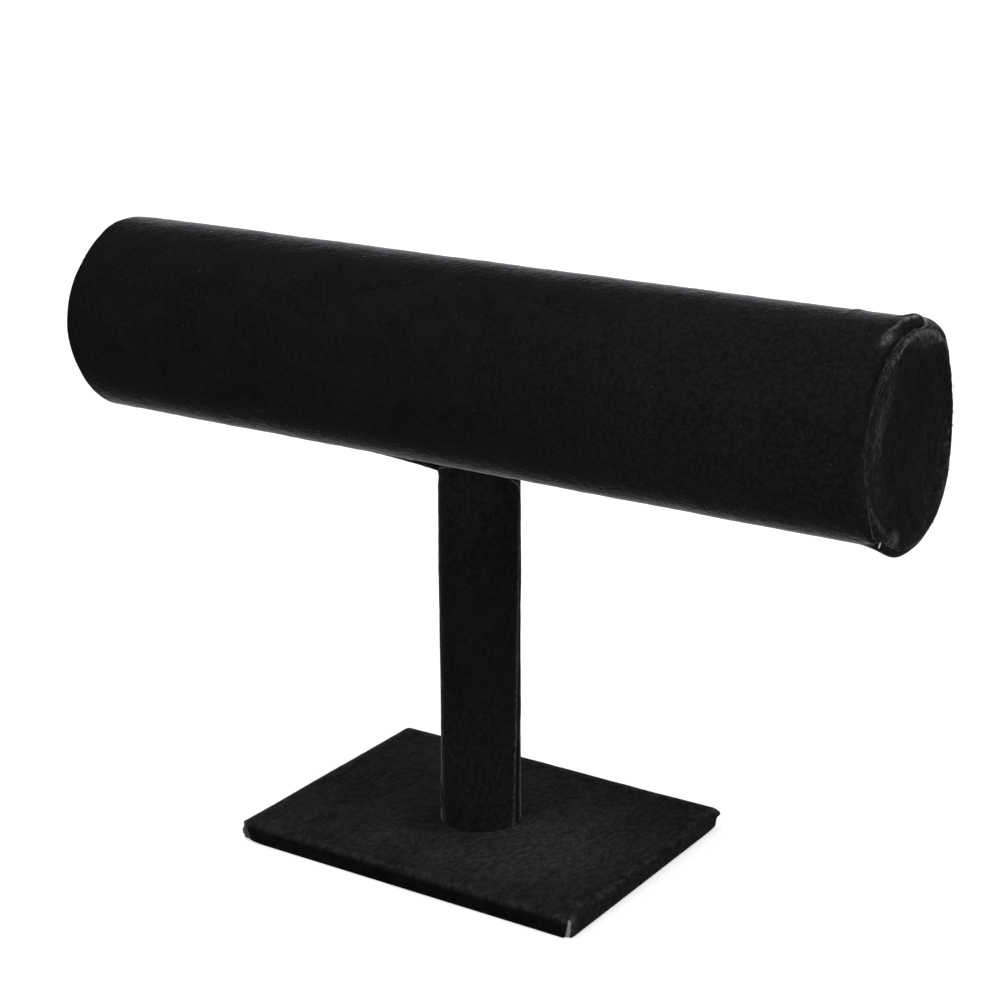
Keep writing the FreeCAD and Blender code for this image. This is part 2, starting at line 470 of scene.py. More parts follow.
def raw_cloth(name, dark, pale):
    """The woven ground of the velvet where a cut edge shows it, with pile dust on it."""
    material, tree = new_material(name, Roughness=0.95, Specular_IOR_Level=0.2, Sheen_Weight=0.15)
    place = object_place(tree)
    weave = use(plain_weave, place, Thread_Width=0.00028)
    dust = use(nap_patches, place, Patch_Size=0.0022, Spread=0.22)
    colour = blend(dust["Mask"], blend(weave["Tone"], dark, pale), dark)
    return dress(material, colour, weave["Height"], 0.0002, 0.8)


def loose_fibre(name, dark, pale):
    """Single threads and lint, each a little paler or darker along its length."""
    material, tree = new_material(name, Roughness=0.8, Specular_IOR_Level=0.3)
    shade = use(nap_patches, object_place(tree), Patch_Size=0.0016, Spread=0.2)
    return dress(material, blend(shade["Mask"], dark, pale), shade["Height"], 0.00005)


def pressed_felt():
    """Thin black felt: matted fibres with a few pale ones."""
    material, tree = new_material(
        "pressed_felt", Roughness=0.97, Specular_IOR_Level=0.15, Sheen_Weight=0.12, Sheen_Roughness=0.6)
    place = object_place(tree)
    matted = use(pile_grain, place, Tip_Size=0.0005, Tuft_Size=0.0022)
    pale_fibres = use(lint_specks, place, Spacing=0.0022, Share=0.35)["Mask"]
    colour = blend(matted["Tone"], (0.008, 0.008, 0.009), (0.028, 0.028, 0.03))
    return dress(material, blend(pale_fibres, colour, (0.11, 0.11, 0.115)), matted["Height"], 0.0004)


def fibrous(name, dark, pale, stretch, line_width, roughness, depth, metallic=0.0):
    """Wood, wound paperboard, pressed board or drawn steel, each with its own line and stretch."""
    material, tree = new_material(name, Metallic=metallic)
    lines = use(fibre_lines, object_place(tree, stretch), Line_Width=line_width)
    blots = use(nap_patches, object_place(tree), Patch_Size=0.009, Spread=0.3)["Mask"]
    worn = tuple(0.8 * value for value in dark)
    colour = blend(blots * 0.35, blend(lines["Tone"], dark, pale), worn)
    rough = calculate("ADD", roughness, blots * 0.12, clamp=True)
    return dress(material, colour, lines["Height"], depth, roughness=rough)


def moulded_plastic():
    material, tree = new_material("moulded_plastic", Specular_IOR_Level=0.45)
    grain = use(pile_grain, object_place(tree), Tip_Size=0.0006, Tuft_Size=0.003)
    colour = blend(grain["Tone"], (0.04, 0.04, 0.042), (0.055, 0.055, 0.057))
    return dress(material, colour, grain["Height"], 0.00005, roughness=0.42 + 0.14 * grain["Tone"])


bar_pile = velvet("bar_pile", (0.0058, 0.0058, 0.0065), (0.0112, 0.0112, 0.0122), (0.160, 0.163, 0.172),
                  (0.014, 0.2), (0.8, 1, 1), (1, 1, 1), sheen=0.85, specks=0.30)
end_pile = velvet("end_pile", (0.0053, 0.0053, 0.0058), (0.0118, 0.0118, 0.0129), (0.120, 0.122, 0.130),
                  (0.009, 0.2), (1, 1.2, 0.6), (1, 1, 0.7), sheen=0.15, specks=0.30)
post_pile = velvet("post_pile", (0.0054, 0.0054, 0.0059), (0.0108, 0.0108, 0.0116), (0.055, 0.056, 0.060),
                   (0.011, 0.2), (1, 1, 0.6), (1, 1, 0.8), sheen=0.50, specks=0.30)
base_pile = velvet("base_pile", (0.0068, 0.0068, 0.0073), (0.0205, 0.0205, 0.0219), (0.060, 0.061, 0.066),
                   (0.009, 0.16), (1, 0.5, 1), (1, 0.5, 1), sheen=0.80, specks=0.45)
cut_edge = raw_cloth("cut_edge", (0.009, 0.009, 0.010), (0.046, 0.047, 0.050))
corner_lining = raw_cloth("corner_lining", (0.21, 0.21, 0.215), (0.48, 0.48, 0.49))
worn_lining = raw_cloth("worn_lining", (0.022, 0.022, 0.024), (0.17, 0.172, 0.18))
loose_thread = loose_fibre("loose_thread", (0.025, 0.025, 0.027), (0.16, 0.16, 0.17))
lint = loose_fibre("lint", (0.05, 0.05, 0.053), (0.13, 0.13, 0.14))
pale_thread = loose_fibre("pale_thread", (0.45, 0.45, 0.45), (0.80, 0.80, 0.80))
underside_felt = pressed_felt()


# The bar's cover.

bar_path, bar_path_normals = rounded_path(
    [(tuck_depth - tube_end, bore_radius), (-bar_end, bore_radius), (-bar_end, bar_radius),
     (bar_end, bar_radius), (bar_end, bore_radius), (tube_end - tuck_depth, bore_radius)],
    [1.3, bar_rim_radius, bar_rim_radius, 1.3],
    [1.6, 0.5, 0.75, 0.5, 1.6],
    0.25,
)


def seamed_round(radius, seam_angle, step):
    """Angles all the way round, from one side of the gap at the seam to the other."""
    half_gap = seam_gap / 2 / radius
    count = 1 + round(2 * math.pi * radius / step)
    return np.linspace(seam_angle + half_gap, seam_angle + 2 * math.pi - half_gap, count)


bar_angles = seamed_round(bar_radius, bar_seam_angle, 0.75)
flare_reach = 3.5
crease_x = 99.5


def bar_surface(x, radius, angle):
    return np.stack(np.broadcast_arrays(x, radius * np.cos(angle), bar_axis_z + radius * np.sin(angle)), -1)


def on_bar(points):
    """Where points lie on the bar: along it, out from its axis and round it in degrees."""
    y, z = points[..., 1], points[..., 2] - bar_axis_z
    return points[..., 0], np.hypot(y, z), np.degrees(np.arctan2(z, y))


def rim_flare(degrees):
    """How far the cloth bunched over the right end stands out from the bar, in millimetres."""
    return bumps(degrees, (2.75, 284, 31), (0.8, 260, 13), (1.6, 318, 24), (0.2, 0, 30),
                 (1.1, 47, 13), (0.55, 65, 9))


def top_lip(degrees):
    """The pinched lip at the top of the right end, over and above the flare."""
    return bumps(degrees, (1.3, 84, 9), (0.4, 99, 12))


def from_top_ridge(x, degrees):
    """Millimetres along the bar from the rubbed ridge that leaves the rim at the top."""
    return x - (bar_end - 0.1 - 0.075 * angle_from(degrees, 85))


def bar_relief(x, radius, angle):
    """How far the bar's pile stands out from the smooth cover, in millimetres."""
    at = bar_surface(x, radius, angle)
    degrees = np.degrees(angle)
    from_seam = bar_radius * np.minimum(angle - bar_angles[0], bar_angles[-1] - angle)
    rise = uneven(at, (0.10, 15, 1), (0.05, 4.5, 2), (0.045, 1.7, 3))
    rise = rise - 0.55 * hump(from_seam, 0, 0.9) + 0.14 * hump(from_seam, 2.4, 1.2)
    # The ends are not quite round where the cloth was pulled in over the tube.
    rise = rise - hump(x, -bar_end, 5) * (0.16 + 0.16 * wave(degrees, 5, 40) + 0.14 * lumps(at, 6, 4))
    nick = bumps(degrees, (0.7, 241, 2.5), (0.28, 130, 4)) * hump(x, bar_end, 2.4)
    rise = rise - nick * ramp(radius, bar_radius - 1.5, bar_radius - 0.7)
    gathered = around(degrees, 112, 26) * (0.15 + uneven(at, (0.5, 2.4, 6), (0.35, 1.2, 7)))
    on_rim = hump(x, bar_end, flare_reach) * ramp(radius, bar_radius - 2.6, bar_radius - 1.2)
    rise = rise + on_rim * (0.12 * lumps(at, 5, 5) - 0.08 + top_lip(degrees) + gathered)
    ridge = hump(from_top_ridge(x, degrees), 0, 0.5) * around(degrees, 97, 14)
    rise = rise + 0.4 * ridge * ramp(radius, bar_radius - 1.0, bar_radius - 0.2)
    return rise + 0.28 * hump(x, crease_x, 0.7) * around(degrees, 84, 14)


def place_bar(rows, columns, behind):
    x, radius = bar_path[rows].T[:, :, None]
    normal_x, normal_out = bar_path_normals[rows].T[:, :, None]
    angle = bar_angles[columns][None, :]
    rise = -cloth_thickness if behind else bar_relief(x, radius, angle)
    flare = rim_flare(np.degrees(angle)) * hump(x, bar_end, flare_reach)
    flare = flare * ramp(radius, bar_radius - 5.5, bar_radius - 1.6)
    return bar_surface(x + normal_x * rise + 0.45 * flare, radius + normal_out * rise + flare, angle)


def bar_lift_and_light(points):
    """Where the bar's pile stands up, with painted highlights on the right end's rim and the right half, and
    painted shade in the end groove and at the left end.
    """
    x, radius, degrees = on_bar(points)
    radius = radius - rim_flare(degrees) * hump(x, bar_end, flare_reach)
    ridge = hump(from_top_ridge(x, degrees), 0, 0.34) * ramp(degrees, 116, 108) * ramp(degrees, 74, 80)
    ridge = ridge * ramp(radius, bar_radius - 0.8, bar_radius) * (1.9 + 1.6 * lumps(points, 1.1, 11))
    knot = 0.7 * hump(x, bar_end - 1.6, 1.1) * around(degrees, 114, 4)
    # Painted shade: the pile is darkened in the groove inside the right end's rim.
    groove = hump(radius, bar_radius - 1.5, 0.6) * ramp(x, bar_end - 1.0, bar_end - 0.4)
    groove = 0.5 * groove * around(degrees, 118, 26)
    # Painted highlight: paler pile on the right end's rim where the light falls on it.
    lit_rim = bumps(degrees, (0.2, 322, 40), (0.6, 70, 16)) * (0.45 + 0.5 * lumps(points, 1.4, 13))
    lit_rim = lit_rim * ramp(x, bar_end - 2.2, bar_end - 1.0) * hump(radius, bar_radius - 1.0, 1.3)
    crease = 0.08 * hump(x, crease_x, 0.9) * around(degrees, 84, 16)
    seam = 0.07 * around(degrees, -38, 2.2) * (0.5 + 0.5 * lumps(points, 2, 12))
    # Painted light: the bar's right half is made a little paler and its left end darker, as the light falls.
    along = 0.018 * ramp(x, 0, 90) - 0.05 * ramp(x, -20, -100)
    return ridge + knot - groove + lit_rim + crease + seam + along


bar_cover = cloth_piece("bar_cover", place_bar, len(bar_path), len(bar_angles), bar_pile, bar_lift_and_light)
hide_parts("bar_velvet")


# The two end covers, each a disc of velvet cut by hand and glued over the turned-in cloth.

disc_count = 109
disc_share = np.linspace(-1, 1, disc_count)


def round_from_square(a, b):
    """Spreads an even square grid over a round disc: distance from the middle, and angle."""
    a, b = np.meshgrid(a, b, indexing="ij")
    wide = np.abs(a) > np.abs(b)
    safe_a, safe_b = np.where(wide, a, 1), np.where(wide | (b == 0), 1, b)
    reach = np.where(wide, a, b)
    angle = np.where(wide, math.pi / 4 * b / safe_a, math.pi / 2 - math.pi / 4 * a / safe_b)
    across, upward = reach * np.cos(angle), reach * np.sin(angle)
    return np.hypot(across, upward), np.arctan2(upward, across)


def end_outline(side, degrees):
    """The hand-cut rim: how much larger or smaller than round the disc is at each angle."""
    outline = 0.16 * wave(degrees, 3, 50 * side) + 0.10 * wave(degrees, 7, 130)
    outline = outline + 0.10 * wave(degrees, 23, 20) * wave(degrees, 41, 0)
    if side < 0:
        return outline
    overhang = bumps(degrees, (1.5, 231, 13), (0.7, 285, 42)) + 0.85 * rim_flare(degrees)
    cut_short = bumps(degrees, (0.95, 126, 17), (0.45, 184, 26))
    torn = bumps(degrees, (0.5, 243, 3.0), (0.4, 12, 2.5))
    return outline + overhang - cut_short - torn


def end_plane(side, degrees, radius):
    """How far beyond the bar's flat end the disc lies: out with the flared rim, back over its roll."""
    flare = rim_flare(degrees) if side > 0 else 0 * degrees
    rolled = 0.28 * np.maximum(radius - bar_radius + bar_rim_radius - flare, 0) ** 2
    rolled = rolled + 0.1 * np.maximum(radius - bar_radius, 0) ** 2
    return 0.45 * flare * ramp(radius, 18, 22.5) - rolled


def place_end(side, rows, columns, behind):
    share, angle = round_from_square(disc_share[rows], disc_share[columns])
    degrees = np.degrees(angle)
    radius = share * (end_cover_radius + end_outline(side, degrees) * share ** 6)
    plane = end_plane(side, degrees, radius)
    if behind:
        return bar_surface(side * (bar_end + 0.02 + plane), radius, angle)
    flat = bar_surface(np.full_like(radius, side * end_cover_face), radius, angle)
    from_rim = end_cover_radius * (1 - share)
    rise = uneven(flat, (0.10, 9, 21 + side), (0.06, 3, 22), (0.05, 1.2, 23)) - 0.1
    rise = rise - 0.30 * hump(from_rim, 0, 0.7) + 0.12 * hump(from_rim, 2.0, 1.5)
    if side > 0:
        gathered = around(degrees, 100, 30) * hump(from_rim, 0.8, 2.6)
        rise = rise + gathered * uneven(flat, (0.5, 2.3, 36), (0.4, 1.2, 37))
        crease = hump(bar_radius - radius, 3.0 + 0.05 * angle_from(degrees, 228), 0.7)
        rise = rise + 0.22 * crease * around(degrees, 224, 22)
    return bar_surface(side * (end_cover_face + rise + plane), radius, angle)


def end_lift_and_light(side, points):
    radius, degrees = on_bar(points)[1:]
    from_rim = end_cover_radius + end_outline(side, degrees) - radius
    frayed = hump(from_rim, 0.2, 0.55) * (0.24 + 0.35 * lumps(points, 1.4, 31))
    if side < 0:
        return frayed
    inset = bar_radius - radius + 0.55 * rim_flare(degrees)
    frayed = frayed * (0.66 - 0.5 * around(degrees, 170, 50))
    # Painted sheen: a paler band across the front part of the disc.
    band = around(degrees, 166, 42) * hump(inset, 7.0, 2.9) * (0.18 + 0.13 * lumps(points, 4, 32))
    gathered = around(degrees, 76, 28) * hump(from_rim, 0.4, 0.75)
    gathered = gathered + 0.3 * around(degrees, 72, 16) * hump(from_rim, 2.0, 1.7)
    gathered = gathered * (1.0 + 1.0 * lumps(points, 1.6, 33))
    right_side = around(degrees, 352, 34) * hump(inset, 4.5, 2.2)
    right_side = 0.8 * right_side * np.maximum(lumps(points, 1.3, 34) - 0.2, 0)
    low_streak = 0.33 * hump(inset, 3.0, 0.55) * around(degrees, 226, 17)
    low_bit = 0.7 * hump(inset, 3.2, 1.5) * around(degrees, 250, 3.5)
    brushed = 0.11 * around(degrees, 305, 36) * hump(inset, 5, 4) * (0.8 + lumps(points, 2.2, 35))
    return frayed + band + gathered + right_side + low_streak + low_bit + brushed


def end_rim_point(side, degrees, outward, inward_x):
    radius = end_cover_radius + end_outline(side, degrees) + outward
    plane = end_plane(side, degrees, radius)
    return bar_surface(side * (end_cover_face - inward_x + plane), radius, np.radians(degrees))


def outward_at(degrees):
    """The direction straight out from the bar's axis."""
    angle = np.radians(degrees)
    return np.stack([0 * angle, np.cos(angle), np.sin(angle)], -1)


def raw_rim(name, side):
    """The cut edge of the disc's woven ground, a thin uneven ring that shows beside the pile."""
    degrees = np.arange(360.0)
    outward = outward_at(degrees)
    middle = end_rim_point(side, degrees, -0.05, 0.72)
    middle = middle + 0.13 * outward * lumps(middle, 1.1, 41 + side)[:, None]
    wide = (0.17 + 0.05 * lumps(middle, 0.7, 42))[:, None] * outward
    turns = (np.arange(6) * math.pi / 3)[:, None]
    rings = middle[:, None] + np.cos(turns) * (0.26, 0.0, 0.0) + np.sin(turns) * wide[:, None]
    index = np.pad(numbered(rings), ((0, 1), (0, 1)), mode="wrap")
    return make_piece(name, rings.reshape(-1, 3), grid_quads(index), cut_edge)


def fray_lines(side, spots):
    """Loose threads along the cut rim. Each spot is an angle, its spread, a count and a length."""
    draw = np.random.default_rng(60 + side)
    share = np.linspace(0, 1, 6)[:, None]
    lines = []
    for middle, spread, count, length in spots:
        for _ in range(count):
            degrees = middle + spread * draw.normal()
            start = end_rim_point(side, degrees, -0.35, draw.uniform(-0.1, 0.8))
            outward = outward_at(degrees)
            along = np.array([0, -outward[2], outward[1]]) * draw.choice([-1, 1])
            reach = length * draw.uniform(0.5, 1.1)
            aim = outward * draw.uniform(0.05, 0.5) + along * draw.uniform(0.5, 1.0)
            aim = aim + np.array([side * draw.uniform(0.0, 0.35), 0, 0])
            curl = draw.normal(size=3) * 0.25
            lines.append(start + reach * (aim * share + curl * share ** 2 * (1 - 0.4 * share)))
    return lines


def tuft_lines():
    """Rubbed tufts of pile along the ridge at the top of the right end and along the disc's edge there."""
    draw = np.random.default_rng(64)
    share = np.linspace(0, 1, 5)
    lines = []
    for _ in range(70):
        degrees = draw.uniform(94, 114) + share * draw.uniform(1.5, 3.5)
        x = bar_end - 0.1 - 0.075 * (degrees - 85) + 0.18 * draw.normal() + 0.25 * share * draw.normal()
        x = np.minimum(x, bar_end - 0.7)
        angle = np.radians(degrees)
        height = bar_relief(x, bar_radius, angle) + 0.06 + draw.uniform(0.1, 0.35) * share
        lines.append(bar_surface(x, bar_radius + height, angle))
    for _ in range(90):
        degrees = draw.uniform(58, 118) + share * draw.uniform(1.5, 4.0)
        radius = end_cover_radius + end_outline(1, degrees) - draw.uniform(0.0, 0.7)
        radius = radius + 0.3 * share * draw.normal()
        x = end_cover_face + end_plane(1, degrees, radius) + 0.05 + draw.uniform(0.0, 0.4) * share
        lines.append(bar_surface(x, radius, np.radians(degrees)))
    return lines


def make_end(side, side_name, spots):
    cover = cloth_piece("end_cover_" + side_name, partial(place_end, side), disc_count, disc_count,
                        end_pile, partial(end_lift_and_light, side))
    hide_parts("bar_end_velvet_" + side_name)
    rim = raw_rim("end_cut_edge_" + side_name, side)
    frays = strands_piece("end_frays_" + side_name, fray_lines(side, spots), 0.045, loose_thread)
    return cover, [rim, frays]


end_cover_left, left_trim = make_end(-1, "left", [(90, 60, 18, 0.9), (270, 60, 18, 0.9)])
end_cover_right, right_trim = make_end(
    1, "right", [(114, 12, 30, 1.3), (90, 7, 20, 1.2), (72, 8, 14, 1.1), (4, 14, 26, 1.1), (322, 12, 18, 1.0),
                 (243, 6, 16, 1.2), (180, 60, 20, 0.7)])
right_trim.append(strands_piece("top_tufts", tuft_lines(), 0.08, lint))


# The post's sleeve.

post_angles = seamed_round(post_radius, math.pi / 2, 0.4)
post_rows = 221
post_row_share = np.linspace(0, 1, post_rows)
post_row_share = post_row_share - 0.11 * np.sin(2 * math.pi * post_row_share)


def sleeve_top(y):
    return bar_axis_z - np.sqrt(bar_radius ** 2 - y ** 2)


def from_side_crease(points, degrees):
    """Millimetres round the post from the pale crease that runs down its right side."""
    z = points[..., 2]
    crease = 18 * (z - base_top) / (sleeve_top(0) - base_top) - 2
    crease = crease - 20 * np.exp(-(sleeve_top(points[..., 1]) - z) / 1.4)
    return np.radians(angle_from(degrees, crease)) * post_radius


def on_left(degrees, whole_within):
    """1 on the post's left side, fading to 0 at 62 degrees from its middle."""
    return ramp(np.abs(angle_from(degrees, 205)), 62, whole_within)


def from_top_fold(points, degrees):
    """Millimetres below the fold that the sleeve's top makes on the left."""
    return sleeve_top(points[..., 1]) - points[..., 2] - 1.15 * on_left(degrees, 12)


def from_foot_fold(z, degrees):
    """Degrees round the post from the fold that swings inward to its foot on the left."""
    return angle_from(degrees, 213) - 26 * (1 - (z - base_top) / 11)


def place_post(rows, columns, behind):
    angle = post_angles[columns][None, :]
    radius = post_radius - (cloth_thickness if behind else 0)
    top = sleeve_top(radius * np.sin(angle))
    z = base_top + (top - base_top) * post_row_share[rows][:, None]
    at = np.stack(np.broadcast_arrays(radius * np.cos(angle), radius * np.sin(angle), z), -1)
    if behind:
        return at
    degrees = np.degrees(angle)
    beside, below = from_side_crease(at, degrees), from_top_fold(at, degrees)
    from_seam = post_radius * np.minimum(angle - post_angles[0], post_angles[-1] - angle)
    rise = uneven(at, (0.16, 19, 51), (0.07, 5, 52), (0.045, 1.6, 53))
    rise = rise + 0.15 * np.exp(-(z - base_top) / 1.1) + 0.25 * np.exp(-(top - z) / 1.4)
    rise = rise + 0.75 * np.exp(-(top - z) / 1.5) * around(degrees, 18, 26) - 0.18 * hump(top - z, 3.4, 1.3)
    rise = rise + 0.22 * hump(beside, 0, 0.5) - 0.16 * hump(beside, 1.5, 0.8)
    rise = rise + on_left(degrees, 50) * (0.32 * hump(below, 0, 0.35) - 0.25 * hump(below, -0.7, 0.35))
    rise = rise - 0.45 * hump(from_seam, 0, 0.8) + 0.12 * hump(from_seam, 2.0, 1.0)
    rise = rise + 0.42 * hump(from_foot_fold(z, degrees), 0, 6) * ramp(z, base_top + 13, base_top + 8)
    radius = radius + rise
    return np.stack([radius * np.cos(angle), radius * np.sin(angle), z], -1)


def post_lift_and_light(points):
    """Painted highlight along the right crease with painted shade beside it, both stronger under the bar;
    pale pile along the folds and in specks where that side meets the base.
    """
    x, y, z = np.moveaxis(points, -1, 0)
    degrees = np.degrees(np.arctan2(y, x))
    beside, below_bar = from_side_crease(points, degrees), sleeve_top(y) - z
    crease = 0.45 * hump(from_foot_fold(z, degrees), 3, 4) * ramp(z, base_top + 9, base_top + 5)
    # Painted sheen along the right crease and painted shade just beside it, both made stronger towards the
    # bar, where its shade falls.
    crease_sheen_and_shade = hump(beside, 0, 0.48) * (0.9 + 0.6 * lumps(points, 1.1, 57)) - 0.4 * hump(beside, 1.5, 0.8)
    crease_sheen_and_shade = crease_sheen_and_shade * (1 + 1.2 * np.exp(-below_bar / 5))
    # A pale line along the fold under the sleeve's top on the left, made strong to show in the bar's shade:
    # partly painted light.
    fold_line = 1.3 * hump(from_top_fold(points, degrees), 0, 0.3) * on_left(degrees, 50)
    foot = 0.7 * np.exp(-(z - base_top) / 1.2) * around(degrees, 8, 28) * (0.2 + lumps(points, 0.9, 55))
    # Painted sheen: paler pile where the sleeve's top flares out on the right.
    flare = np.exp(-(bar_axis_z - bar_radius - z) / 1.5) * around(degrees, 14, 22)
    seam = 0.25 * around(degrees, 90, 6) * (0.5 + lumps(points, 2, 56))
    # Painted light: paler pile low on the post and just under the bar, against the shade that falls there.
    upright = 0.10 * ramp(z, base_top + 45, base_top + 10) + 0.09 * ramp(below_bar, 26, 2)
    return upright + crease + foot + crease_sheen_and_shade + fold_line + 0.3 * np.clip(flare, 0, 1) + seam


post_sleeve = cloth_piece("post_sleeve", place_post, post_rows, len(post_angles), post_pile, post_lift_and_light)
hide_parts("post_velvet")

tongue_rows, tongue_columns = 61, 31
tongue_start, tongue_end = -34.0, -6.5


def place_tongue(rows, columns, behind):
    """The sleeve's cloth, drawn out along the bar's underside to the left and thinning away."""
    share = np.linspace(0, 1, tongue_rows)[rows][:, None]
    across = np.linspace(-1, 1, tongue_columns)[columns][None, :]
    x = tongue_start + (tongue_end - tongue_start) * share
    angle = np.radians(263 + (8 + 10 * share) * across)
    at = bar_surface(x, bar_radius, angle)
    height = 0.02 + 1.75 * share ** 1.5 * (1 - across ** 4) + 0.06 * lumps(at, 1.4, 58)
    return at if behind else bar_surface(x, bar_radius + height, angle)


sleeve_tongue = cloth_piece("sleeve_tongue", place_tongue, tongue_rows, tongue_columns, post_pile)

right_edge = [(-12, 1.2), (-7, 1.8), (-2, 2.4), (4, 3.2), (9, 4.1), (13, 5.4), (15, 7.0), (16, 10.0),
              (16, 14.0)]


def sleeve_edge_line(path, flare):
    """A cut edge of the sleeve's cloth under the bar. The path gives angles and depths below its top."""
    degrees, below = np.array(path, float).T
    angle, radius = np.radians(degrees), post_radius + 0.42 + flare * np.exp(-below / 1.5)
    y = radius * np.sin(angle)
    return np.stack([radius * np.cos(angle), y, sleeve_top(y) - below], -1)


left_edge = [(degrees, 1.0 * ramp(abs(degrees - 205), 75, 12) + 0.05) for degrees in range(206, 272, 3)]
sleeve_edges = strands_piece(
    "sleeve_edges", [sleeve_edge_line(left_edge, 0.0), sleeve_edge_line(right_edge, 0.75)], 0.16, lint)


# The base's cover: one cloth over the board, turned down at four corner seams and under as a hem.

# Wear at each corner: how far the ear of cloth stands out, the ear's height and half height, the
# seam's half width at its head and foot, how far the foot is tucked up, the seam's lean and its top.
wear_names = ("ear", "ear_z", "ear_tall", "head", "foot", "tucked", "lean", "top")
corner_wear = {
    (-1, -1): (0.50, 2.9, 1.7, 0.70, 1.75, 0.5, -0.30, 4.7),
    (1, -1): (0.10, 2.9, 1.7, 0.50, 0.86, 0.0, 0.36, 4.95),
    (1, 1): (1.05, 4.1, 0.8, 0.22, 1.35, 0.3, 0.0, 4.4),
    (-1, 1): (0.30, 2.9, 1.7, 0.30, 1.00, 0.2, 0.0, 4.2),
}
corner_wear = {corner: dict(zip(wear_names, row)) for corner, row in corner_wear.items()}
side_axes = {
    "front": (1, 0, 0, -1), "right": (0, 1, 1, 0), "back": (-1, 0, 0, 1), "left": (0, -1, -1, 0),
}
top_rows = 46
edge_path, edge_normals = rounded_path(
    [(-base_edge_radius - 1e-6, base_top), (0, base_top), (0, 0), (-hem_width, 0)],
    [base_edge_radius, base_fold_radius],
    [0.6, 0.5, 1.4],
    0.42,
)


def side_columns(half_side):
    """Places along one side of the base: how far round each end's corner, and how far along."""
    arc = np.linspace(-45, 0, 6)[:-1]
    straight = np.linspace(-1, 1, round(2 * half_side / 0.9))
    return np.concatenate([arc, 0 * straight, -arc[::-1]]), np.pad(straight, len(arc), mode="edge")


def side_outline(half_side, half_across, inset, turn, share, underneath=False):
    """A point of one side's outline, pulled in by inset: (along the side, out from the centre)."""
    run = half_side - base_corner_radius
    radius = np.maximum(base_corner_radius - inset, 0.0)
    along = share * run + radius * np.sin(np.radians(turn))
    out = half_across - base_corner_radius + radius * np.cos(np.radians(turn))
    if not underneath:
        return along, out
    corner = run + base_corner_radius * math.sin(math.radians(45))
    full = share * run + base_corner_radius * np.sin(np.radians(turn))
    sharp = ramp(inset, base_fold_radius, base_fold_radius + 3)
    along = along * (1 - sharp) + full * (half_side - inset) / corner * sharp
    return along, out - np.maximum(inset - base_corner_radius, 0)


def base_side(half_side, half_across):
    """Grid of points of one side's sector, from the screw hole to the hem's inner edge."""
    turn, share = side_columns(half_side - base_corner_radius)
    ring_along, ring_out = side_outline(half_side, half_across, base_edge_radius, turn, share)
    hole = math.atan2(half_side, half_across) * share
    rows = []
    for step in np.linspace(0, 1, top_rows)[:-1]:
        along = screw_hole_radius * np.sin(hole) * (1 - step) + ring_along * step
        out = screw_hole_radius * np.cos(hole) * (1 - step) + ring_out * step
        rows.append((along, out, np.full(len(turn), base_top)))
    for (out, z), (normal_out, _) in zip(edge_path, edge_normals):
        underneath = z < base_fold_radius and normal_out < 0.999
        along, far = side_outline(half_side, half_across, -out, turn, share, underneath)
        rows.append((along, far, np.full(len(turn), z)))
    return np.array(rows).transpose(1, 0, 2)


def shaped_side(direction):
    """The sector with its corner seams opened, its ears and folds, in the stand's own axes."""
    lengthways = direction in ("front", "back")
    half_side, half_across = (half_length, half_depth) if lengthways else (half_depth, half_length)
    along, out, z = base_side(half_side, half_across)
    hem = np.concatenate([np.zeros(top_rows - 1), -edge_path[:, 0] * (edge_normals[:, 1] < -0.5)])[:, None]
    along_x, along_y, out_x, out_y = side_axes[direction]
    for end in (-1, 1):
        wear = corner_wear[end * along_x + out_x, end * along_y + out_y]
        corner_along = end * (half_side - 0.29 * base_corner_radius)
        away = np.abs(along - corner_along * (1 - hem / half_side))
        height = np.clip(z / wear["top"], 0, 1)
        opened = wear["foot"] + (wear["head"] - wear["foot"]) * height
        opened = opened + wear["lean"] * (2 * height - 1) * (-1 if lengthways else 1)
        slit = ramp(z, wear["top"] + 0.1, wear["top"] - 0.25) * (1 - 0.8 * ramp(hem, 0, 4))
        along = along - end * opened * slit * np.exp(-away / 2.2)
        ear = hump(z, wear["ear_z"], wear["ear_tall"]) * ramp(hem, 1.5, 0)
        ear = ear * ramp(z, base_top - 0.05, base_top - 0.8)
        out = out + wear["ear"] * (0.35 if lengthways else 1.0) * ear * hump(away, 0.3, 1.7)
        tucked = wear["tucked"] * hump(away, 0, 3.2) * (1 - ramp(z, 0.2, base_top - 0.6))
        z = z + tucked * ramp(hem, 14, 0)
        out = out - 0.45 * tucked * ramp(hem, 3, 0)
    return np.stack([along * along_x + out * out_x, along * along_y + out * out_y, z], -1), hem


def past_worn_flap(x, z):
    """Millimetres past the worn edge of the front flap, towards the front left corner."""
    return 1.9 + 2.2 * (1 - z / base_top) - (x + half_length)


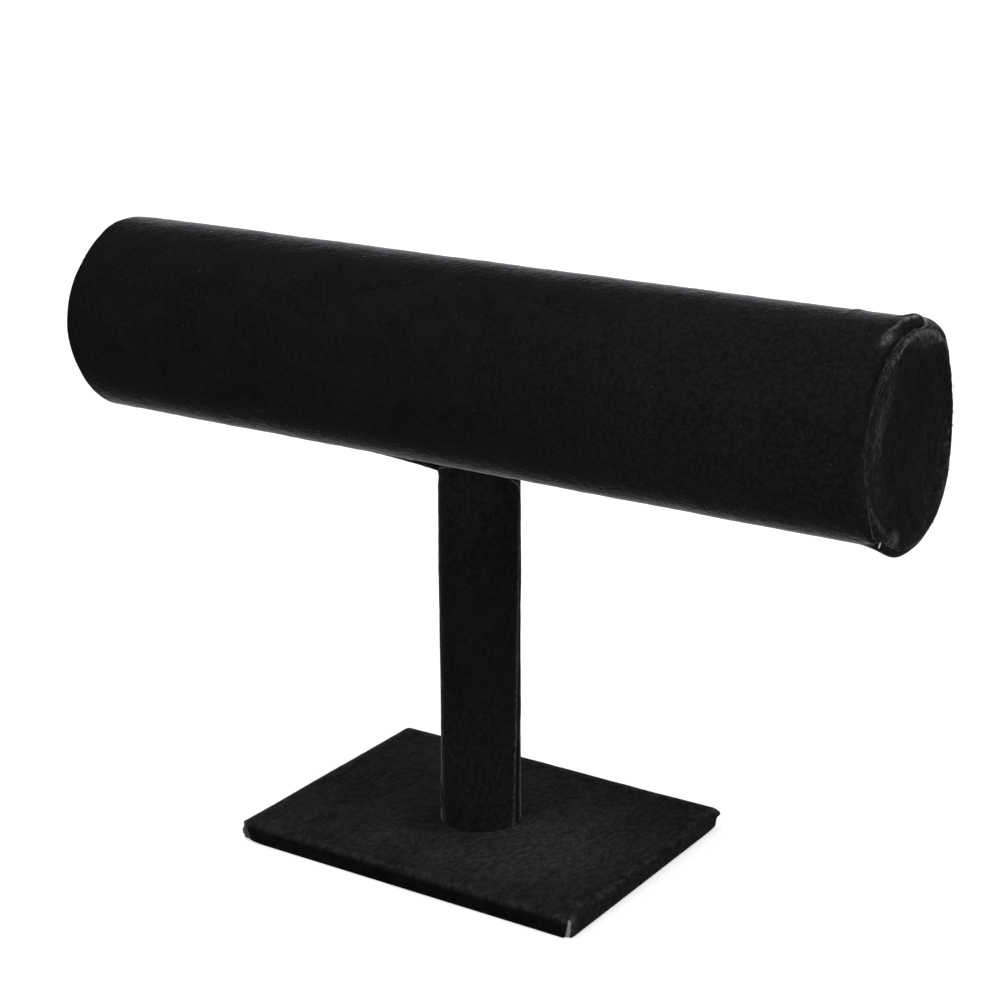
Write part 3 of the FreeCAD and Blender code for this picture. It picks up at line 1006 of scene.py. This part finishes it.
def dress_base(points, hem):
    """Gives the laid cloth its small unevenness: puffed edges, a sunk middle and lumpy sides."""
    x, y, z = np.moveaxis(points, -1, 0)
    from_end, from_side = half_length - np.abs(x), half_depth - np.abs(y)
    inset = np.minimum(from_end, from_side)
    rise = uneven(points, (0.10, 13, 61), (0.06, 4, 62), (0.045, 1.6, 63))
    puffed = 0.16 * hump(inset, 3.2, 1.8) - 0.10 * ramp(inset, 5, 11)
    pressed = ramp(np.hypot(x, y), post_radius + 2.5, post_radius)
    on_top = ramp(z, base_top - 0.8, base_top)
    z = z + on_top * ((rise + puffed) * (1 - pressed) - 0.10 * pressed)
    worn = ramp(past_worn_flap(x, z), -0.15, 0.2) * (y < 0) * ramp(z, base_top - 0.4, base_top - 1.0)
    bulge = (1 - on_top) * ramp(z, 0.0, 1.2) * (hem == 0) * (rise * 1.2 + 0.12 - 0.32 * worn)
    x = x + np.sign(x) * (inset == from_end) * bulge
    y = y + np.sign(y) * (inset == from_side) * bulge
    return np.stack([x, y, z], -1)


def base_lift_and_light(points):
    x, y, z = np.moveaxis(points, -1, 0)
    inset = np.minimum(half_length - np.abs(x), half_depth - np.abs(y))
    edge = hump(inset, 1.2, 1.1) * hump(z, base_top - 0.3, 1.0) * (0.18 + 0.3 * lumps(points, 1.5, 71))
    corner = np.hypot(np.abs(x) - half_length + 0.8, np.abs(y) - half_depth + 0.8)
    seams = hump(corner, 0, 1.7) * (0.45 + 0.5 * lumps(points, 1.1, 72))
    foot = hump(np.hypot(x, y), post_radius + 0.8, 0.7) * around(np.degrees(np.arctan2(y, x)), -12, 30)
    foot = foot * (0.2 + 0.9 * lumps(points, 1.1, 73))
    # front is painted light: a paler patch on the front of the top.
    front = 0.4 * hump(x, 24, 18) * hump(y, -4, 19) + 0.2 * hump(x, 0, 24) * hump(y, -24, 7)
    ring = hump(np.hypot(x - 47.6, y + 29.6), 1.2, 0.35) * (0.3 + 0.3 * lumps(points, 1.5, 76))
    stroked = (front * (1 + 0.4 * lumps(points, 7, 74)) + ring) * ramp(z, base_top - 1, base_top - 0.2)
    fold = 0.25 * hump(z, 0.5, 0.5) * (0.5 + 0.5 * lumps(points, 2, 75))
    past = past_worn_flap(x, z) * (y < 1 - half_depth) - 9 * (y >= 1 - half_depth)
    # Painted shade: the front and back sides are darkened, the two end faces only a little, and not past the
    # worn front flap.
    side_shade = ramp(z, base_top - 0.3, base_top - 1.5) * ramp(z, -0.1, 0.3)
    side_shade = side_shade * (0.15 + 0.85 * ramp(half_length - np.abs(x), 0.3, 1.2)) * (1 - ramp(past, -0.2, 0.2))
    ear = ramp(past, -0.1, 0.25) * (0.75 + 0.6 * lumps(points, 1.0, 77)) + 0.9 * hump(past, 0.1, 0.3)
    ear = ear * ramp(z, base_top - 0.1, base_top - 0.9) * ramp(z, 0.2, 0.8)
    return edge + seams + foot + ear + stroked - 0.75 * side_shade + fold


def make_base_cover():
    points, faces, lifts_and_light = [], [], []
    for direction in side_axes:
        grid = dress_base(*shaped_side(direction))
        faces += grid_quads(numbered(grid, sum(len(part) for part in points)))
        points.append(grid.reshape(-1, 3))
        lifts_and_light.append(base_lift_and_light(grid).ravel())
    cover = make_piece("base_cover", np.concatenate(points), faces, base_pile, np.concatenate(lifts_and_light))
    weld = cover.modifiers.new("weld", "WELD")
    weld.merge_threshold = 0.02 * MM
    skin = cover.modifiers.new("skin", "SOLIDIFY")
    skin.thickness = base_cloth_thickness * MM
    skin.offset = 1
    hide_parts("base_velvet")
    return cover


base_cover = make_base_cover()


# Underside felt, raw corner linings, threads and lint.

felt_rows, felt_columns = 94, 61


def rounded_in(place, share, other_share, half):
    """One coordinate of the felt's even grid, drawn in where the sheet's corners are round."""
    bent = half - felt_corner_radius * (1 - share * np.sqrt(1 - other_share ** 2 / 2))
    return np.sign(place) * np.where((share > 0) & (other_share > 0), bent, np.abs(place))


def place_felt(rows, columns, behind):
    a = np.linspace(-felt_half_length, felt_half_length, felt_rows)[rows][:, None]
    b = np.linspace(-felt_half_depth, felt_half_depth, felt_columns)[columns][None, :]
    a, b = np.broadcast_arrays(a, b)
    u = np.clip((np.abs(a) - felt_half_length) / felt_corner_radius + 1, 0, 1)
    v = np.clip((np.abs(b) - felt_half_depth) / felt_corner_radius + 1, 0, 1)
    x, y = rounded_in(a, u, v, felt_half_length), rounded_in(b, v, u, felt_half_depth)
    if behind:
        return np.stack([x, y, np.full(x.shape, felt_back_z)], -1)
    at = np.stack([x, y, np.zeros(x.shape)], -1)
    rim = np.minimum(felt_half_length - np.abs(x), felt_half_depth - np.abs(y))
    ragged = 1 + 0.004 * lumps(at, 1.2, 82) * hump(rim, 0, 1)
    z = 0.03 + 0.03 * lumps(at, 3, 81) + 0.22 * hump(rim, 0, 0.35)
    return np.stack([x * ragged, y * ragged, z], -1)


underside = cloth_piece("underside_felt", place_felt, felt_rows, felt_columns, underside_felt)
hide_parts("base_backing")


def make_corner_lining(corner_x, corner_y, name):
    """The raw ground of the cloth that shows in the open corner seam, standing up the board's corner."""
    rows, columns = 21, 17
    wear = corner_wear[corner_x, corner_y]
    height = np.linspace(0.35, wear["top"] + 0.1, rows)[:, None]
    height = height + 0.45 * wear["tucked"] * (1 - height / base_top)
    over = np.clip(height - base_top + base_edge_radius, 0, 0.98 * base_edge_radius)
    turns = np.radians(np.linspace(-46, 46, columns))
    middle = math.atan2(corner_y, corner_x)
    loose = 0.75 * (corner_x < 0 and corner_y < 0) * hump(height, 2.6, 1.6) * np.cos(2 * turns)
    skins = []
    for radius in (lining_radius, lining_radius - lining_thickness):
        wide = radius - base_edge_radius + np.sqrt(base_edge_radius ** 2 - over ** 2) + loose
        x = corner_x * (half_length - base_corner_radius) + wide * np.cos(middle + turns)
        y = corner_y * (half_depth - base_corner_radius) + wide * np.sin(middle + turns)
        skins.append(np.stack(np.broadcast_arrays(x, y, height), -1))
    wander = (0.08 + 0.22 * wear["ear"]) * lumps(skins[0], 0.9, 91)
    skins[0] = skins[0] + wander[..., None] * (math.cos(middle), math.sin(middle), 0.0)
    points = np.concatenate([skin.reshape(-1, 3) for skin in skins])
    faces = two_skins(*skins, np.arange(rows), np.arange(columns))
    return make_piece(name, points, faces, worn_lining if corner_x * corner_y > 0 else corner_lining)


corner_linings = [
    make_corner_lining(corner_x, corner_y, "corner_lining_" + name)
    for corner_x, corner_y, name in ((-1, -1, "front_left"), (1, -1, "front_right"),
                                     (1, 1, "back_right"), (-1, 1, "back_left"))
]

lint_count = 60
fibre_share = np.linspace(-0.5, 0.5, 6)
fibre_arch = 1 - 4 * fibre_share ** 2


def curled(draw, heading, length):
    """A short bent fibre: how far its points lie from its middle, one way and the other."""
    bend = draw.normal() * 0.5 * fibre_share ** 2
    cos, sin = math.cos(heading), math.sin(heading)
    return length * (fibre_share * cos - bend * sin), length * (fibre_share * sin + bend * cos)


def bar_lint_lines():
    draw = np.random.default_rng(101)
    lines = []
    for _ in range(lint_count):
        x, degrees, length, heading = draw.uniform((-110, 0, 0.2, 0), (112, 360, 0.55, math.pi))
        along, round_bar = curled(draw, heading, length)
        height = bar_radius + 0.12 + 0.12 * draw.uniform() * fibre_arch
        lines.append(bar_surface(x + along, height, math.radians(degrees) + round_bar / bar_radius))
    return lines


def base_lint_lines():
    draw = np.random.default_rng(102)
    lines = []
    while len(lines) < lint_count:
        x, y = draw.uniform((-48, -35), (48, 35))
        if math.hypot(x, y) < post_radius + 1:
            continue
        along, across = curled(draw, *draw.uniform((0, 0.2), (math.pi, 0.6)))
        z = base_top + 0.2 + 0.15 * draw.uniform() * fibre_arch
        lines.append(np.stack([x + along, y + across, z], -1))
    return lines


thread_line = bar_surface(bar_end + np.linspace(-0.25, 0.95, 5), bar_radius + np.linspace(0.15, -0.5, 5),
                          np.radians(np.linspace(242, 235.6, 5)))
end_thread = strands_piece("end_thread", [thread_line], 0.2, pale_thread)
bar_lint = strands_piece("bar_lint", bar_lint_lines(), 0.05, lint)
base_lint = strands_piece("base_lint", base_lint_lines(), 0.05, lint)


# What is inside keeps its solid and gets its own finish.

paperboard = fibrous("wound_paperboard", (0.30, 0.21, 0.13), (0.50, 0.38, 0.25), (0.15, 1, 1),
                     0.0007, 0.85, 0.0001)
dowel_wood = fibrous("dowel_wood", (0.46, 0.31, 0.18), (0.68, 0.51, 0.33), (1, 1, 0.08),
                     0.0008, 0.62, 0.00012)
hardboard = fibrous("hardboard", (0.16, 0.095, 0.05), (0.27, 0.175, 0.10), (1, 1, 1),
                    0.0009, 0.7, 0.00008)
screw_steel = fibrous("screw_steel", (0.42, 0.40, 0.35), (0.66, 0.64, 0.58), (1, 1, 8),
                      0.0009, 0.32, 0.00002, 1.0)
saddle_plastic = moulded_plastic()
finishes = {
    "bar_tube": paperboard, "bar_plug_left": paperboard, "bar_plug_right": paperboard,
    "post_core": dowel_wood, "base_board": hardboard, "bar_saddle": saddle_plastic,
    "bar_screw": screw_steel, "base_screw": screw_steel,
}
for node, finish in finishes.items():
    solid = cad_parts[node]
    solid.data.materials.clear()
    solid.data.materials.append(finish)


# Camera, floor, light.

camera_azimuth, camera_elevation, camera_roll = map(math.radians, (33.35, 17.63, -0.18))
camera_target, camera_distance = Vector((0.00626, 0, 0.0936)), 0.58074
floor_half = 20.0
lamps = (
    ("softbox_above", (-0.15, -0.25, 1.15), 1.1, 5.4),
    ("softbox_left", (-1.1, -0.7, 0.55), 0.9, 1.1),
    ("softbox_right", (1.2, -0.1, 0.6), 0.9, 4.2),
)


def show(name, data, matrix=Matrix()):
    shown = bpy.data.objects.new(name, data)
    shown.matrix_world = matrix
    bpy.context.scene.collection.objects.link(shown)
    return shown


def place_camera():
    level = math.cos(camera_elevation)
    back = Vector((math.sin(camera_azimuth) * level, -math.cos(camera_azimuth) * level,
                   math.sin(camera_elevation)))
    level_right = Vector((math.cos(camera_azimuth), math.sin(camera_azimuth), 0))
    level_up = back.cross(level_right)
    right = level_right * math.cos(camera_roll) + level_up * math.sin(camera_roll)
    up = level_up * math.cos(camera_roll) - level_right * math.sin(camera_roll)
    turned = Matrix((right, up, back)).transposed().to_4x4()
    lens = bpy.data.cameras.new("camera")
    lens.lens, lens.sensor_width = 83.047, 36
    lens.clip_start, lens.clip_end = 0.01, 60
    place = Matrix.Translation(camera_target + back * camera_distance)
    bpy.context.scene.camera = show("camera", lens, place @ turned)


def seen_directly(tree):
    """1 for what the camera, a reflection or clear glass shows, 0 for light on the object."""
    path = add(tree, "LightPath")
    seen = calculate("MAXIMUM", path["Is Camera Ray"], path["Is Glossy Ray"])
    return calculate("MAXIMUM", seen, path["Is Transmission Ray"])


def lay_floor():
    mesh = bpy.data.meshes.new("floor")
    corners = [(-1, -1), (1, -1), (1, 1), (-1, 1)]
    mesh.from_pydata([(floor_half * x, floor_half * y, 0) for x, y in corners], [], [(0, 1, 2, 3)])
    material = bpy.data.materials.new("pale_floor")
    material.use_nodes = True
    tree = material.node_tree
    tree.nodes.clear()
    away = add(tree, "VectorMath", {0: add(tree, "TexCoord")["Object"]}, operation="LENGTH")["Value"]
    paper = add(tree, "BsdfDiffuse", {"Color": 0.70})[0]
    glow = add(tree, "Emission", {"Color": 1.0, "Strength": 0.54 + 0.24 * between(away, 0.35, 2.2)})[0]
    lit = add(tree, "AddShader", {0: paper, 1: glow})[0]
    mixed = add(tree, "MixShader", {"Fac": seen_directly(tree), 1: paper, 2: lit})[0]
    add(tree, "OutputMaterial", {"Surface": mixed})
    mesh.materials.append(material)
    show("floor", mesh)


def light_the_studio():
    world = bpy.data.worlds.new("studio")
    bpy.context.scene.world = world
    world.use_nodes = True
    tree = world.node_tree
    tree.nodes.clear()
    soft = add(tree, "Background", {"Color": 1.0, "Strength": 0.62})[0]
    white = add(tree, "Background", {"Color": 1.0, "Strength": 1.0})[0]
    mixed = add(tree, "MixShader", {"Fac": seen_directly(tree), 1: soft, 2: white})[0]
    add(tree, "OutputWorld", {"Surface": mixed})
    for name, place, size, power in lamps:
        lamp = bpy.data.lights.new(name, "AREA")
        lamp.shape, lamp.size, lamp.energy = "SQUARE", size, power
        aim = Vector((0, 0, 0.08)) - Vector(place)
        show(name, lamp, Matrix.Translation(place) @ aim.to_track_quat("-Z", "Y").to_matrix().to_4x4())


place_camera()
lay_floor()
light_the_studio()
bpy.context.scene.view_settings.view_transform = "Standard"

bpy.context.view_layer.update()
